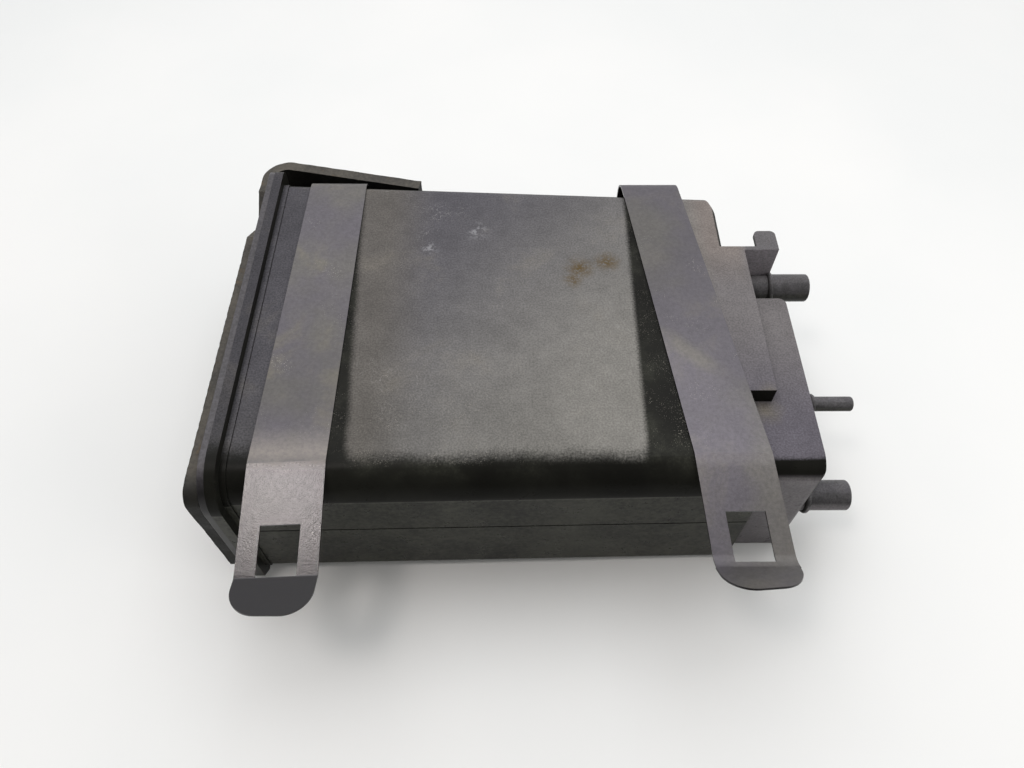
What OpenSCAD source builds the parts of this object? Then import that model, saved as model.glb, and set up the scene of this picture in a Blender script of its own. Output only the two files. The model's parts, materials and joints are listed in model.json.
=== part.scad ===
// Charcoal canister of a fuel system: a welded plastic box of activated carbon
// with three hose spigots, two loose steel straps and a rubber buffer mat.
// Millimetres. +Z up, +X towards the spigots, +Y towards the back wall.
// Origin: middle of the outline, on the surface that the canister stands on.
// Inside the modules, x = 0 is the flange's inner face and y = 0 its middle.

/* [Housing] */
// Length from the flange's inner face to the port end wall
body_len = 251; // [230:1:280]
// Depth at the flange, front wall to back wall
body_depth = 201.6; // [190:0.1:215]
// Height of the box without its flange
body_height = 92.5; // [86:0.5:105]
// Thickness of the moulded walls
wall = 2.8; // [2.2:0.1:3.4]
// Lean of the back wall towards the port end, degrees
back_draft = 2.86; // [1:0.01:4]
// Lean of the front wall towards the port end, degrees
front_draft = 1.03; // [0.5:0.01:2]
// Radius of the long top edge at the front
front_top_r = 16.5; // [10:0.5:20]
// Radius of the long top edge at the back
back_top_r = 6; // [4:0.5:10]
// Radius of the long bottom edges
bottom_r = 4; // [3.5:0.5:7]
// Radius of the end wall's top and bottom edges
end_edge_r = 3; // [1:0.5:5]
// Cut of the back corner of the end wall, along the length
corner_cut_x = 5.5; // [2:0.5:8]
// Cut of the back corner of the end wall, along the depth
corner_cut_y = 14; // [6:0.5:20]
// Depth of the parting groove along the front wall
seam_depth = 0.4; // [0.2:0.1:0.8]
// Width of the parting groove
seam_w = 0.9; // [0.5:0.1:1.5]

/* [Flange and cover] */
// Height of the welding lip round the open end
lip_h = 5.6; // [4:0.1:7]
// Thickness of the housing's lip
lip_t = 5; // [3.5:0.1:6]
// Thickness of the end cover
cover_t = 3.4; // [2.5:0.1:5]
// Step from the housing's lip down to the cover's edge
cover_step = 0.4; // [0.2:0.1:1]
// Radius of the lip's back top corner
lip_corner_r = 6; // [3:0.5:9]
// Slanting cut of the lip's bottom corners
lip_foot_cut = 6; // [3:0.5:9]
// Length of the shoulder beside the lip
shoulder_len = 3; // [2:0.5:5]
// Height of the shoulder over the walls
shoulder_h = 0.8; // [0.4:0.1:1.2]
// Depth of the cover's locating rim inside the mouth
rim_len = 6; // [4:0.5:8]
// Thickness of the locating rim
rim_t = 2.4; // [1.8:0.1:3]

/* [Port end] */
// Reach of the upper boss past the end wall
boss_len = 11.5; // [9:0.5:16]
// Width of the upper boss
boss_w = 96; // [90:1:104]
// Reach of the port block past the end wall
block_len = 31.5; // [26:0.5:40]
// Back face of the port block
block_back = 18.7; // [12:0.1:24]
// Front face of the port block
block_front = -88.2; // [-90:0.1:-86]
// Drop of the port block below the top face
block_drop = 10; // [7:0.5:13]
// Radius of the port block's front top edge
block_top_r = 12; // [8:0.5:16]
// Radius of the port block's upright corners
block_corner_r = 4; // [3.5:0.5:6]
// Width of the hook plate past the boss
hook_len = 19.2; // [15:0.1:24]
// Height of the hook plate
hook_h = 21; // [14:0.5:22]
// Thickness of the hook plate and its tab
hook_t = 2.5; // [2:0.1:3.5]
// Width of the hook's tab
hook_tab_w = 12; // [8:0.5:14]
// Reach of the tab behind the plate
hook_tab_len = 11.8; // [8:0.1:16]
// Corner radius of the tab
hook_tab_r = 3; // [1:0.5:4]

/* [Spigots] */
// Outside diameter of the tank and vent spigots
large_d = 15.82; // [14:0.01:17]
// Bore of the tank and vent spigots
large_bore = 12; // [10:0.1:12.4]
// Outside diameter of the purge spigot
small_d = 7.89; // [6:0.01:10]
// Bore of the purge spigot
small_bore = 5; // [3.5:0.1:5.4]
// Length of the tank spigot from the boss
tank_len = 41.4; // [34:0.1:48]
// Length of the vent spigot from the block
vent_len = 25.5; // [25:0.1:34]
// Length of the purge spigot from the block
purge_len = 31.5; // [26:0.1:40]
// Middle of the tank spigot along the depth
tank_y = 41.4; // [38:0.1:42]
// Middle of the vent spigot along the depth
vent_y = -77.8; // [-79:0.1:-74]
// Middle of the purge spigot along the depth
purge_y = -34.5; // [-40:0.1:-20]
// Depth of the tank spigot's axis below the top face
tank_drop = 27.4; // [26:0.1:32]
// Depth of the vent spigot's axis below the top face
vent_drop = 54.1; // [40:0.1:60]
// Depth of the purge spigot's axis below the top face
purge_drop = 33.5; // [25:0.1:45]
// Distance from the large stop bead to the tip
large_stop = 22.5; // [19:0.1:23]
// Distance from the small stop bead to the tip
small_stop = 22; // [18:0.1:23]
// How far a stop bead stands out from its spigot
bead_h = 1.5; // [0.8:0.1:2]
// Width of a stop bead
bead_w = 3.2; // [2:0.1:4]
// Rounding of the spigot tips
tip_r = 1.2; // [0.5:0.1:1.4]

/* [Inside] */
// Middle of the wall between the two carbon chambers
partition_y = -56; // [-60:0.5:-50]
// Thickness of that wall
partition_t = 2.4; // [1.8:0.1:3]
// Opening at the cover end between the chambers
crossover = 9; // [7:0.5:12]
// Height of the ribs that hold the pads off the end wall
rib_len = 8; // [5:0.5:12]
// Thickness of those ribs
rib_t = 2; // [1.5:0.1:3]
// Spacing of those ribs
rib_pitch = 18; // [14:1:24]
// Height of the passage through the ribs
rib_gap = 14; // [8:1:24]
// Thickness of the filter pads
pad_t = 5; // [3:0.5:8]
// Thickness of the retainer plates
plate_t = 3; // [2:0.5:4]
// Width of the slots in the retainer plates
slot_w = 4; // [3:0.5:5]
// Length of the slots in the retainer plates
slot_len = 9; // [6:0.5:10]
// Spacing of the slots across
slot_pitch_y = 9; // [8:0.5:12]
// Spacing of the slots up
slot_pitch_z = 14; // [13:0.5:18]
// Side clearance of the pieces in the chambers
fit_gap = 0.3; // [0.2:0.05:0.6]

/* [Springs] */
// Fitted length of the retainer springs
spring_len = 26; // [22:0.5:32]
// Mean coil diameter
coil_d = 18; // [16:0.5:20]
// Wire diameter
wire_d = 1.6; // [1.2:0.1:2]
// Number of open coils
open_coils = 3.4; // [3:0.1:3.8]
// Height of the pegs that hold the springs in line
peg_h = 5; // [3:0.5:7]
// Half the spacing of the main springs along the depth
spring_half_y = 42; // [30:1:50]
// Half the spacing of the springs in height
spring_half_z = 22; // [16:1:26]

/* [Straps] */
// Sheet thickness of the straps
strap_t = 1; // [0.8:0.1:1.5]
// Width at the back bend
strap_w_back = 32.6; // [28:0.1:36]
// Width at the front fold
strap_w_front = 36.6; // [34:0.1:40]
// Inside radius of the back bend
strap_bend_r = 7; // [5:0.5:10]
// Downward slope of the front end, degrees
strap_slope = 17; // [10:0.5:20]
// Width of the catch hole
strap_hole_w = 18; // [14:0.5:22]
// Length of the catch hole
strap_hole_len = 22.6; // [16:0.1:26]
// Length of the finger tab
strap_tab_len = 19.2; // [14:0.1:24]
// Corner radius of the finger tab
strap_tab_r = 13; // [8:0.5:14]
// Length of the lip that reaches under the housing
strap_lip_len = 60; // [50:0.5:70]
// How far the left strap's front bend lies past where its slope would touch the box
left_bend_out = 1; // [1:0.1:10]
// Length of the left strap's sloping front end, bend to fold
left_slope_len = 51; // [40:0.1:60]
// Middle of the left strap along the length, at the back
left_x = 32.4; // [30:0.1:60]
// Gap between the back of the box at its flange and the left strap's back leg
left_back_gap = 1.2; // [0.8:0.1:1.4]
// Turn of the left strap, degrees
left_turn = -0.6; // [-1:0.1:1]
// Skew of the left strap's back bend, degrees
left_back_skew = 0; // [-1:0.1:1]
// Skew of the left strap's front bend, hole and fold, degrees
left_skew = 3.2; // [-5:0.1:5]
// Rise of the left finger tab, degrees
left_tab_rise = 16; // [5:1:40]
// Inside radius of the left strap's fold
left_fold_r = 2; // [1:0.5:6]
// How far the right strap's front bend lies past where its slope would touch the box
right_bend_out = 0.6; // [0.6:0.1:10]
// Length of the right strap's sloping front end, bend to fold
right_slope_len = 49.3; // [40:0.1:60]
// Middle of the right strap along the length, at the back
right_x = 214.1; // [180:0.1:216]
// Shift of the right strap's back leg from the back of the box at its flange
right_back_shift = -0.2; // [-2.5:0.1:2]
// Turn of the right strap, degrees
right_turn = 6.6; // [0:0.1:7.5]
// Skew of the right strap's back bend, degrees
right_back_skew = -6.6; // [-8:0.1:2]
// Skew of the right strap's front bend, hole and fold, degrees
right_skew = -6.6; // [-8:0.1:5]
// Rise of the right finger tab, degrees
right_tab_rise = 36; // [5:1:45]
// Inside radius of the right strap's fold
right_fold_r = 8; // [4:0.5:12]

/* [Buffer mat] */
// Thickness of the rubber mat
mat_t = 7.2; // [5:0.1:8]
// Height of the mat
mat_h = 78; // [60:1:88]
// Distance of the mat's top edge below the top face
mat_drop = 2; // [0:0.5:4]
// Reach of the mat past the front of the box
mat_over = 4.2; // [-5:0.1:5.2]
// Inside radius where the mat wraps the back corner
mat_bend_r = 7.5; // [5:0.5:10]
// Length of the back leg
mat_back_len = 80; // [60:0.5:81]
// Rounding of the mat's front top corner
mat_corner_r = 9; // [4:0.5:14]
// Depth of the notch in the mat's top edge
notch_depth = 10; // [8:0.5:26]
// Distance of the notch from the back of the box
notch_in = 5.8; // [3:0.1:7]
// Width of the notch at the top edge
notch_w = 37; // [34:0.5:46]
// Run of the notch's sloping back side
notch_back_run = 16; // [6:0.5:17]
// Run of the notch's sloping front side
notch_front_run = 17; // [4:0.5:17]

/* [Hidden] */
$fn = 64;

// Longer than any piece, for cuts and half spaces
reach = 600;
// Overshoot of cuts past a face
cut = 1;
// Smallest inside radius
least_r = 0.5;
// Height of a long edge's round past the face that it meets
tangent_lap = 0.002;
// Step between a bend and the flat that runs into it
skin = 0.01;
// Step of a finger tab's sides inside its strap's sides
tab_step = 0.05;
function bend_lap(r) = 1.5 * sqrt(2 * skin * r);

// Heights of the box
base_z = lip_h;
top_z = base_z + body_height;
mid_z = base_z + body_height / 2;

// Stations along the length
mouth_x = -lip_t;
cover_x = mouth_x - cover_t;
boss_x = body_len + boss_len;
block_x = body_len + block_len;
pad_face = body_len - wall - rib_len;
carbon_end = pad_face - pad_t;
plate_x = mouth_x + spring_len;
carbon_start = plate_x + plate_t + pad_t;

// Faces of the walls between the compartments
partition_back = partition_y + partition_t / 2;
partition_front = partition_y - partition_t / 2;
divider_front = block_back - wall;
boss_back = boss_w / 2;
block_top = top_z - block_drop;
back_at_end = body_depth / 2 - body_len * tan(back_draft);

// Middles of the two chambers at the mouth
main_mid_y = (body_depth / 2 - wall + partition_back) / 2;
vent_mid_y = (partition_front - body_depth / 2 + wall) / 2;
main_springs = [for (y = [-1, 1], z = [-1, 1])
    [main_mid_y + y * spring_half_y, mid_z + z * spring_half_z]];
vent_springs = [for (z = [-1, 1]) [vent_mid_y, mid_z + z * spring_half_z]];

// Corner radii: front top, back top, bottom, where the lip has a slanting cut
box_radii = [front_top_r, back_top_r, bottom_r];
lip_radii = [front_top_r + lip_h, lip_corner_r, lip_foot_cut];
function inner_radii(inset) = [for (r = box_radii) max(r - inset, least_r)];

// Flat coils at each end of a spring, and the facets of its wire
flat_coils = 0.7;
coil_steps = 14;
wire_sides = 8;
spring_turns = open_coils + 2 * flat_coils;
spring_rings = round(spring_turns * coil_steps);
function spring_lift(turn) =
    let (rise = spring_len - wire_d)
    wire_d / 2 + rise * min(max((turn - flat_coils) / open_coils, 0), 1);
function spring_ring(turn) = [for (s = [0 : wire_sides - 1])
    let (a = 360 * s / wire_sides)
    let (r = coil_d / 2 + wire_d / 2 * cos(a))
    [spring_lift(turn) + wire_d / 2 * sin(a), r * cos(360 * turn), r * sin(360 * turn)]];

// The mat's bend starts at the cover's back edge, and its back leg slants so that
// its end lies at the back wall
mat_bend_x = cover_x + mat_bend_r;
mat_bend_y = body_depth / 2 - cover_x * tan(back_draft)
    + (lip_h - cover_step) / cos(back_draft);
mat_across = mat_bend_r + mat_back_len * tan(back_draft);
mat_along = mat_back_len - mat_bend_r * tan(back_draft);
mat_reach = body_depth / 2 - mat_bend_x * tan(back_draft) + fit_gap - mat_bend_y;
mat_slant = acos(mat_reach / norm([mat_across, mat_along]))
    - atan2(mat_along, mat_across);

// Front end of the mat, and the ends of its notch
mat_front = -body_depth / 2 - mat_over;
notch_back = body_depth / 2 - notch_in;
notch_front = notch_back - notch_w;

// Back legs of the straps, and their flat tops, which end where the slope clears
// the box's front round
left_y = body_depth / 2 + left_back_gap;
right_y = body_depth / 2 + right_back_shift;
left_top_len = strap_top_len(left_x, left_y, left_turn, left_bend_out);
right_top_len = strap_top_len(right_x, right_y, right_turn, right_bend_out);
function strap_top_len(x, y, turn, bend_out) =
    let (front_x = x + body_depth * sin(turn))
    let (front_y = front_x * tan(front_draft) - body_depth / 2)
    let (round_y = front_y + front_top_r * (1 - tan(strap_slope / 2)))
    (y - round_y + bend_out) / cos(turn);

// Middle of the outline, which becomes the origin
far_left = cover_x - mat_t;
far_right = block_x + purge_len;
far_back = mat_bend_y + mat_bend_r + mat_t;
far_front = left_y - cos(left_turn) * (left_top_len
    + left_slope_len * cos(strap_slope) / cos(left_skew)
    + strap_tab_len * cos(left_tab_rise) + strap_t * sin(left_tab_rise));
mid_x = (far_left + far_right) / 2;
mid_y = (far_back + far_front) / 2;

// Moves a piece from the working frame to the part's origin
module in_frame() {
    translate([-mid_x, -mid_y, 0])
        children();
}

// Sweeps a (y, z) outline along the length
module along_x(x0, x1) {
    translate([x0, 0, 0])
        rotate([90, 0, 90])
            linear_extrude(height = x1 - x0)
                children();
}

// Sweeps an (x, z) outline along the depth
module along_y(y0, y1) {
    translate([0, y1, 0])
        rotate([90, 0, 0])
            linear_extrude(height = y1 - y0)
                children();
}

// What a round of radius r takes off an outline's corner, which lies at the
// origin with the outline in the +x +y quadrant
module corner_waste(r) {
    difference() {
        translate([-cut, -cut])
            square(r + cut);
        translate([r, r])
            circle(r);
    }
}

// What a slanting cut takes off such a corner
module corner_slant(c) {
    polygon([[-cut, -cut], [c + cut, -cut], [-cut, c + cut]]);
}

// Part of a ring between two angles, less than half a turn apart
module ring_sector(r_in, r_out, a0, a1) {
    far = 2 * r_out;
    half = (a0 + a1) / 2;
    intersection() {
        difference() {
            circle(r_out);
            circle(r_in);
        }
        polygon([[0, 0], far * [cos(a0), sin(a0)], far * [cos(half), sin(half)],
            far * [cos(a1), sin(a1)]]);
    }
}

// Half space inside one long wall: the wall stands at y = inset
module wall_outline(inset, top_r, low, slant) {
    z0 = base_z + inset - tangent_lap;
    z1 = top_z - inset + tangent_lap;
    difference() {
        translate([inset, z0 - cut / 2])
            square([reach, z1 - z0 + cut]);
        translate([inset, z0])
            if (slant)
                corner_slant(low);
            else
                corner_waste(low);
        translate([inset, z1])
            mirror([0, 1])
                corner_waste(top_r);
    }
}

// Carries an outline along one drafted long wall
module along_wall(draft) {
    translate([0, -body_depth / 2, 0])
        rotate([0, 0, draft])
            along_x(-reach / 2, reach)
                children();
}

// The box between two stations, its walls set in by inset
module box_space(inset, radii, x0, x1, slant = false) {
    intersection() {
        along_wall(front_draft)
            wall_outline(inset, radii[0], radii[2], slant);
        mirror([0, 1, 0])
            along_wall(back_draft)
                wall_outline(inset, radii[1], radii[2], slant);
        translate([x0, -reach, base_z + inset])
            cube([x1 - x0, 2 * reach, body_height - 2 * inset]);
    }
}

// Slab of the whole section between two depths
module depth_slab(y0, y1, x0, x1) {
    translate([x0, y0, base_z - lip_h])
        cube([x1 - x0, y1 - y0, body_height + 2 * lip_h]);
}

// Box outside with its rounded end edges and the cut back corner
module outer_box() {
    difference() {
        intersection() {
            box_space(0, box_radii, 0, body_len);
            along_y(-body_depth, body_depth)
                end_outline();
        }
        translate([0, 0, base_z - cut])
            linear_extrude(height = body_height + 2 * cut)
                polygon([[body_len - 2 * corner_cut_x, back_at_end + corner_cut_y],
                    [body_len + corner_cut_x, back_at_end - 2 * corner_cut_y],
                    [body_len + corner_cut_x, back_at_end + corner_cut_y]]);
    }
}

module end_outline() {
    difference() {
        translate([-cut, base_z - cut / 2])
            square([body_len + cut, body_height + cut]);
        translate([body_len, base_z - tangent_lap])
            mirror([1, 0])
                corner_waste(end_edge_r);
        translate([body_len, top_z + tangent_lap])
            rotate(180)
                corner_waste(end_edge_r);
    }
}

// Upper boss, level with the top face
module boss(inset) {
    x0 = body_len - end_edge_r - cut;
    translate([x0, -boss_back + inset, base_z + inset])
        cube([boss_x - inset - x0, boss_w - 2 * inset, body_height - 2 * inset]);
}

// Port block below the boss
module port_block(inset) {
    x0 = body_len - end_edge_r - cut;
    y0 = block_front + inset;
    y1 = block_back - inset;
    x1 = block_x - inset;
    z1 = block_top - inset;
    intersection() {
        along_x(x0, x1)
            difference() {
                translate([y0, base_z + inset])
                    square([y1 - y0, z1 - base_z - inset]);
                translate([y0, z1])
                    mirror([0, 1])
                        corner_waste(block_top_r - inset);
            }
        translate([0, 0, base_z - cut])
            linear_extrude(height = body_height)
                difference() {
                    translate([x0, y0])
                        square([x1 - x0, y1 - y0]);
                    translate([x1, y0])
                        mirror([1, 0])
                            corner_waste(block_corner_r - inset);
                    translate([x1, y1])
                        rotate(180)
                            corner_waste(block_corner_r - inset);
                }
    }
}

// Hook beside the tank spigot: an upright plate with a tab bent to the back
module hook() {
    translate([boss_x - cut, boss_back - hook_t, top_z - hook_h])
        cube([hook_len + cut, hook_t, hook_h]);
    translate([boss_x + hook_len - hook_tab_w, boss_back - hook_t, top_z - hook_t])
        linear_extrude(height = hook_t)
            difference() {
                square([hook_tab_w, hook_tab_len + hook_t]);
                translate([0, hook_tab_len + hook_t])
                    mirror([0, 1])
                        corner_waste(hook_tab_r);
                translate([hook_tab_w, hook_tab_len + hook_t])
                    rotate(180)
                        corner_waste(hook_tab_r);
            }
}

// Spigot along +X from a face: tube, stop bead and rounded tip
module spigot(d, length, stop) {
    rotate([0, 90, 0])
        rotate_extrude() {
            difference() {
                translate([0, -wall])
                    square([d / 2, length + wall]);
                translate([d / 2, length])
                    rotate(180)
                        corner_waste(tip_r);
            }
            translate([d / 2 + bead_h - bead_w / 2, length - stop])
                circle(bead_w / 2);
        }
}

module spigot_bore(d, length) {
    translate([-wall - cut, 0, 0])
        rotate([0, 90, 0])
            cylinder(d = d, h = length + wall + 2 * cut);
}

// Places a child on the axis of a spigot
module at_tank() {
    translate([boss_x, tank_y, top_z - tank_drop])
        children();
}

module at_vent() {
    translate([block_x, vent_y, top_z - vent_drop])
        children();
}

module at_purge() {
    translate([block_x, purge_y, top_z - purge_drop])
        children();
}

// Walls and ribs that stay inside the hollow
module inner_walls() {
    depth_slab(partition_front, partition_back, mouth_x + crossover, block_x);
    depth_slab(divider_front, block_back, carbon_end, boss_x);
    difference() {
        for (y = [-body_depth / 2 + rib_pitch : rib_pitch : body_depth / 2 - rib_pitch])
            depth_slab(y - rib_t / 2, y + rib_t / 2, pad_face, body_len - wall + cut);
        translate([pad_face + rib_t, -body_depth / 2, mid_z - rib_gap / 2])
            cube([rib_len + wall, body_depth, rib_gap]);
    }
}

module hollow() {
    difference() {
        union() {
            box_space(wall, inner_radii(wall), mouth_x - cut, body_len - wall);
            boss(wall);
            port_block(wall);
        }
        inner_walls();
    }
}

module housing() {
    color([0.16, 0.16, 0.17])
        in_frame()
            difference() {
                union() {
                    outer_box();
                    box_space(-shoulder_h, inner_radii(-shoulder_h), -cut, shoulder_len);
                    box_space(-lip_h, lip_radii, mouth_x, 0, slant = true);
                    boss(0);
                    port_block(0);
                    hook();
                    at_tank() spigot(large_d, tank_len, large_stop);
                    at_vent() spigot(large_d, vent_len, large_stop);
                    at_purge() spigot(small_d, purge_len, small_stop);
                }
                hollow();
                at_tank() spigot_bore(large_bore, tank_len);
                at_vent() spigot_bore(large_bore, vent_len);
                at_purge() spigot_bore(small_bore, purge_len);
                intersection() {
                    along_wall(front_draft)
                        translate([-cut, mid_z - seam_w / 2])
                            square([cut + seam_depth, seam_w]);
                    depth_slab(-body_depth, 0, shoulder_len, body_len);
                }
            }
}

// Pegs that hold the springs, pointing along +X from a face
module pegs(places, h) {
    for (p = places)
        translate([-cut, p.x, p.y])
            rotate([0, 90, 0])
                cylinder(d = coil_d - wire_d - 2 * fit_gap, h = h + cut);
}

module end_cover() {
    color([0.15, 0.15, 0.16])
        in_frame() {
            box_space(cover_step - lip_h, [for (r = lip_radii) r - cover_step],
                cover_x, mouth_x, slant = true);
            difference() {
                box_space(wall + fit_gap, inner_radii(wall + fit_gap),
                    mouth_x - cut, mouth_x + rim_len);
                box_space(wall + fit_gap + rim_t, inner_radii(wall + fit_gap + rim_t),
                    mouth_x, mouth_x + rim_len + cut);
            }
            translate([mouth_x, 0, 0])
                pegs(concat(main_springs, vent_springs), peg_h);
        }
}

// Piece that fills a chamber between two depths and two stations
module filling(y0, y1, x0, x1) {
    inset = wall + fit_gap;
    in_frame()
        intersection() {
            box_space(inset, inner_radii(inset), x0, x1);
            depth_slab(y0, y1, x0, x1);
        }
}

module main_carbon() {
    color([0.08, 0.08, 0.08])
        filling(partition_back + fit_gap, body_depth, carbon_start, carbon_end);
}

module vent_carbon() {
    color([0.08, 0.08, 0.08])
        filling(-body_depth, partition_front - fit_gap, carbon_start, carbon_end);
}

module tank_pad() {
    color([0.78, 0.76, 0.7])
        filling(block_back + fit_gap, body_depth, carbon_end, pad_face);
}

module purge_pad() {
    color([0.78, 0.76, 0.7])
        filling(partition_back + fit_gap, divider_front - fit_gap, carbon_end, pad_face);
}

module vent_pad() {
    color([0.78, 0.76, 0.7])
        filling(-body_depth, partition_front - fit_gap, carbon_end, pad_face);
}

module main_cover_pad() {
    color([0.78, 0.76, 0.7])
        filling(partition_back + fit_gap, body_depth, plate_x + plate_t, carbon_start);
}

module vent_cover_pad() {
    color([0.78, 0.76, 0.7])
        filling(-body_depth, partition_front - fit_gap, plate_x + plate_t, carbon_start);
}

// Rows of slots through a retainer plate about a middle
module slots(mid, chamber_w) {
    columns = floor(chamber_w / slot_pitch_y) - 1;
    rows = floor(body_height / slot_pitch_z) - 1;
    for (c = [0 : columns - 1], r = [0 : rows - 1])
        translate([plate_x - cut,
            mid + (c - (columns - 1) / 2) * slot_pitch_y - slot_w / 2,
            mid_z + (r - (rows - 1) / 2) * slot_pitch_z - slot_len / 2])
            cube([plate_t + 2 * cut, slot_w, slot_len]);
}

// Sprung plate that presses the carbon together, solid under each spring
module retainer(y0, y1, mid, chamber_w, places) {
    difference() {
        filling(y0, y1, plate_x, plate_x + plate_t);
        in_frame()
            slots(mid, chamber_w);
    }
    in_frame()
        translate([plate_x, 0, 0]) {
            for (p = places)
                translate([0, p.x, p.y])
                    rotate([0, 90, 0])
                        cylinder(d = coil_d + 2 * wire_d, h = plate_t);
            mirror([1, 0, 0])
                pegs(places, peg_h);
        }
}

module main_retainer() {
    color([0.3, 0.3, 0.32])
        retainer(partition_back + fit_gap, body_depth, main_mid_y,
            body_depth / 2 - wall - partition_back, main_springs);
}

module vent_retainer() {
    color([0.3, 0.3, 0.32])
        retainer(-body_depth, partition_front - fit_gap, vent_mid_y,
            partition_front + body_depth / 2 - wall, vent_springs);
}

// Compression spring along +X from its first flat end
module coil_spring() {
    points = [for (i = [0 : spring_rings])
        each spring_ring(spring_turns * i / spring_rings)];
    sides = [for (i = [0 : spring_rings - 1], s = [0 : wire_sides - 1])
        let (t = (s + 1) % wire_sides)
        [i * wire_sides + s, i * wire_sides + t,
            (i + 1) * wire_sides + t, (i + 1) * wire_sides + s]];
    first = [for (s = [wire_sides - 1 : -1 : 0]) s];
    last = [for (s = [0 : wire_sides - 1]) spring_rings * wire_sides + s];
    polyhedron(points, concat([first, last], sides));
}

module spring_at(place) {
    color([0.62, 0.63, 0.65])
        in_frame()
            translate([mouth_x, place.x, place.y])
                coil_spring();
}

// Side view of a strap up to its front bend, back leg at y = 0 and underside
// of the flat top at z = 0
module strap_side(flat_len) {
    leg_z = -body_height - fit_gap;
    translate([strap_t - strap_lip_len, leg_z - strap_t])
        square([strap_lip_len, strap_t]);
    translate([0, leg_z - strap_t])
        square([strap_t, -strap_bend_r - leg_z + strap_t]);
    translate([-strap_bend_r, -strap_bend_r])
        ring_sector(strap_bend_r, strap_bend_r + strap_t, 0, 90);
    translate([-flat_len, 0])
        square([flat_len - strap_bend_r, strap_t]);
}

// Plan of a strap: straight behind the back bend, then wider towards the front
module strap_plan(fold_y) {
    w0 = strap_w_back / 2;
    w1 = strap_w_front / 2;
    front = fold_y - strap_w_front;
    polygon([[-w0, w0], [w0, w0], [w0, -strap_bend_r], [w1, fold_y],
        [w1, front], [-w1, front], [-w1, fold_y], [-w0, -strap_bend_r]]);
}

// Finger tab in its own plane: its root lies on y = 0, its sides along the strap
module strap_tab(length, lap, skew) {
    w = strap_w_front - 2 * tab_step;
    linear_extrude(height = strap_t)
        intersection() {
            translate([-w, -w])
                square([2 * w, w + lap]);
            rotate(-skew)
                difference() {
                    translate([-w / 2, -length])
                        square([w, length + w]);
                    translate([-w / 2, -length])
                        corner_waste(strap_tab_r);
                    translate([w / 2, -length])
                        mirror([1, 0])
                            corner_waste(strap_tab_r);
                }
        }
}

// Carries a child to the sloping front end: the bend is its y = 0, z = 0 line
module at_front_bend(top_len, skew) {
    translate([0, -top_len, strap_t - skin])
        rotate([0, 0, skew])
            rotate([strap_slope, 0, 0])
                children();
}

// Hold-down strap: folded sheet with a catch hole and a finger tab
module strap(top_len, slope_len, back_skew, skew, fold_r, tab_rise) {
    w = strap_w_front;
    flat_len = top_len + w;
    run = slope_len * cos(strap_slope) / cos(skew);
    hole_run = strap_hole_len * cos(strap_slope) / cos(skew);
    hole_skew = strap_hole_w / 2 * tan(skew);
    fold_y = -top_len - run;
    turn = strap_slope + tab_rise;
    tab_root = fold_r * tan(turn / 2);
    plate_len = slope_len - tab_root;
    lap = bend_lap(fold_r + strap_t);
    difference() {
        intersection() {
            union() {
                difference() {
                    rotate([0, 0, back_skew])
                        along_x(-2 * w, 2 * w)
                            strap_side(flat_len);
                    translate([0, -top_len, -cut])
                        rotate([0, 0, skew])
                            translate([-2 * w, -flat_len, 0])
                                cube([4 * w, flat_len, strap_t + 2 * cut]);
                }
                at_front_bend(top_len, skew) {
                    translate([-w, -plate_len - lap, -strap_t])
                        cube([2 * w, plate_len + lap, strap_t]);
                    translate([0, -plate_len, fold_r])
                        along_x(-w, w)
                            ring_sector(fold_r + skin, fold_r + strap_t - skin,
                                -90 - turn, -90);
                }
            }
            translate([0, 0, -reach / 2])
                linear_extrude(height = reach)
                    strap_plan(fold_y);
        }
        translate([0, fold_y, -reach / 2])
            linear_extrude(height = reach)
                polygon([[-strap_hole_w / 2, -hole_skew], [strap_hole_w / 2, hole_skew],
                    [strap_hole_w / 2, hole_skew + hole_run],
                    [-strap_hole_w / 2, hole_run - hole_skew]]);
    }
    at_front_bend(top_len, skew)
        translate([-run * sin(skew), -plate_len, fold_r])
            rotate([-turn, 0, 0])
                translate([0, 0, -fold_r - strap_t])
                    strap_tab(strap_tab_len - tab_root, lap, skew);
}

module left_strap() {
    color([0.4, 0.39, 0.41])
        in_frame()
            translate([left_x, left_y, top_z])
                rotate([0, 0, left_turn])
                    strap(left_top_len, left_slope_len, left_back_skew, left_skew,
                        left_fold_r, left_tab_rise);
}

module right_strap() {
    color([0.4, 0.39, 0.41])
        in_frame()
            translate([right_x, right_y, top_z])
                rotate([0, 0, right_turn])
                    strap(right_top_len, right_slope_len, right_back_skew, right_skew,
                        right_fold_r, right_tab_rise);
}

// Plan of the mat: flat on the cover, round the back corner, along the back wall
module mat_plan() {
    lap = bend_lap(mat_bend_r + mat_t);
    translate([far_left, mat_front])
        square([mat_t, mat_bend_y + lap - mat_front]);
    translate([mat_bend_x, mat_bend_y]) {
        ring_sector(mat_bend_r + skin, mat_bend_r + mat_t - skin, 90 - mat_slant, 180);
        rotate(-mat_slant)
            translate([-lap, mat_bend_r])
                square([mat_back_len + lap, mat_t]);
    }
}

module buffer_mat() {
    mat_top = top_z - mat_drop;
    color([0.2, 0.19, 0.16])
        in_frame()
            difference() {
                translate([0, 0, mat_top - mat_h])
                    linear_extrude(height = mat_h)
                        mat_plan();
                along_x(far_left - cut, cover_x + cut) {
                    translate([mat_front, mat_top])
                        mirror([0, 1])
                            corner_waste(mat_corner_r);
                    polygon([[notch_front, mat_top + cut], [notch_front, mat_top],
                        [notch_front + notch_front_run, mat_top - notch_depth],
                        [notch_back - notch_back_run, mat_top - notch_depth],
                        [notch_back, mat_top], [notch_back, mat_top + cut]]);
                }
            }
}

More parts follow.
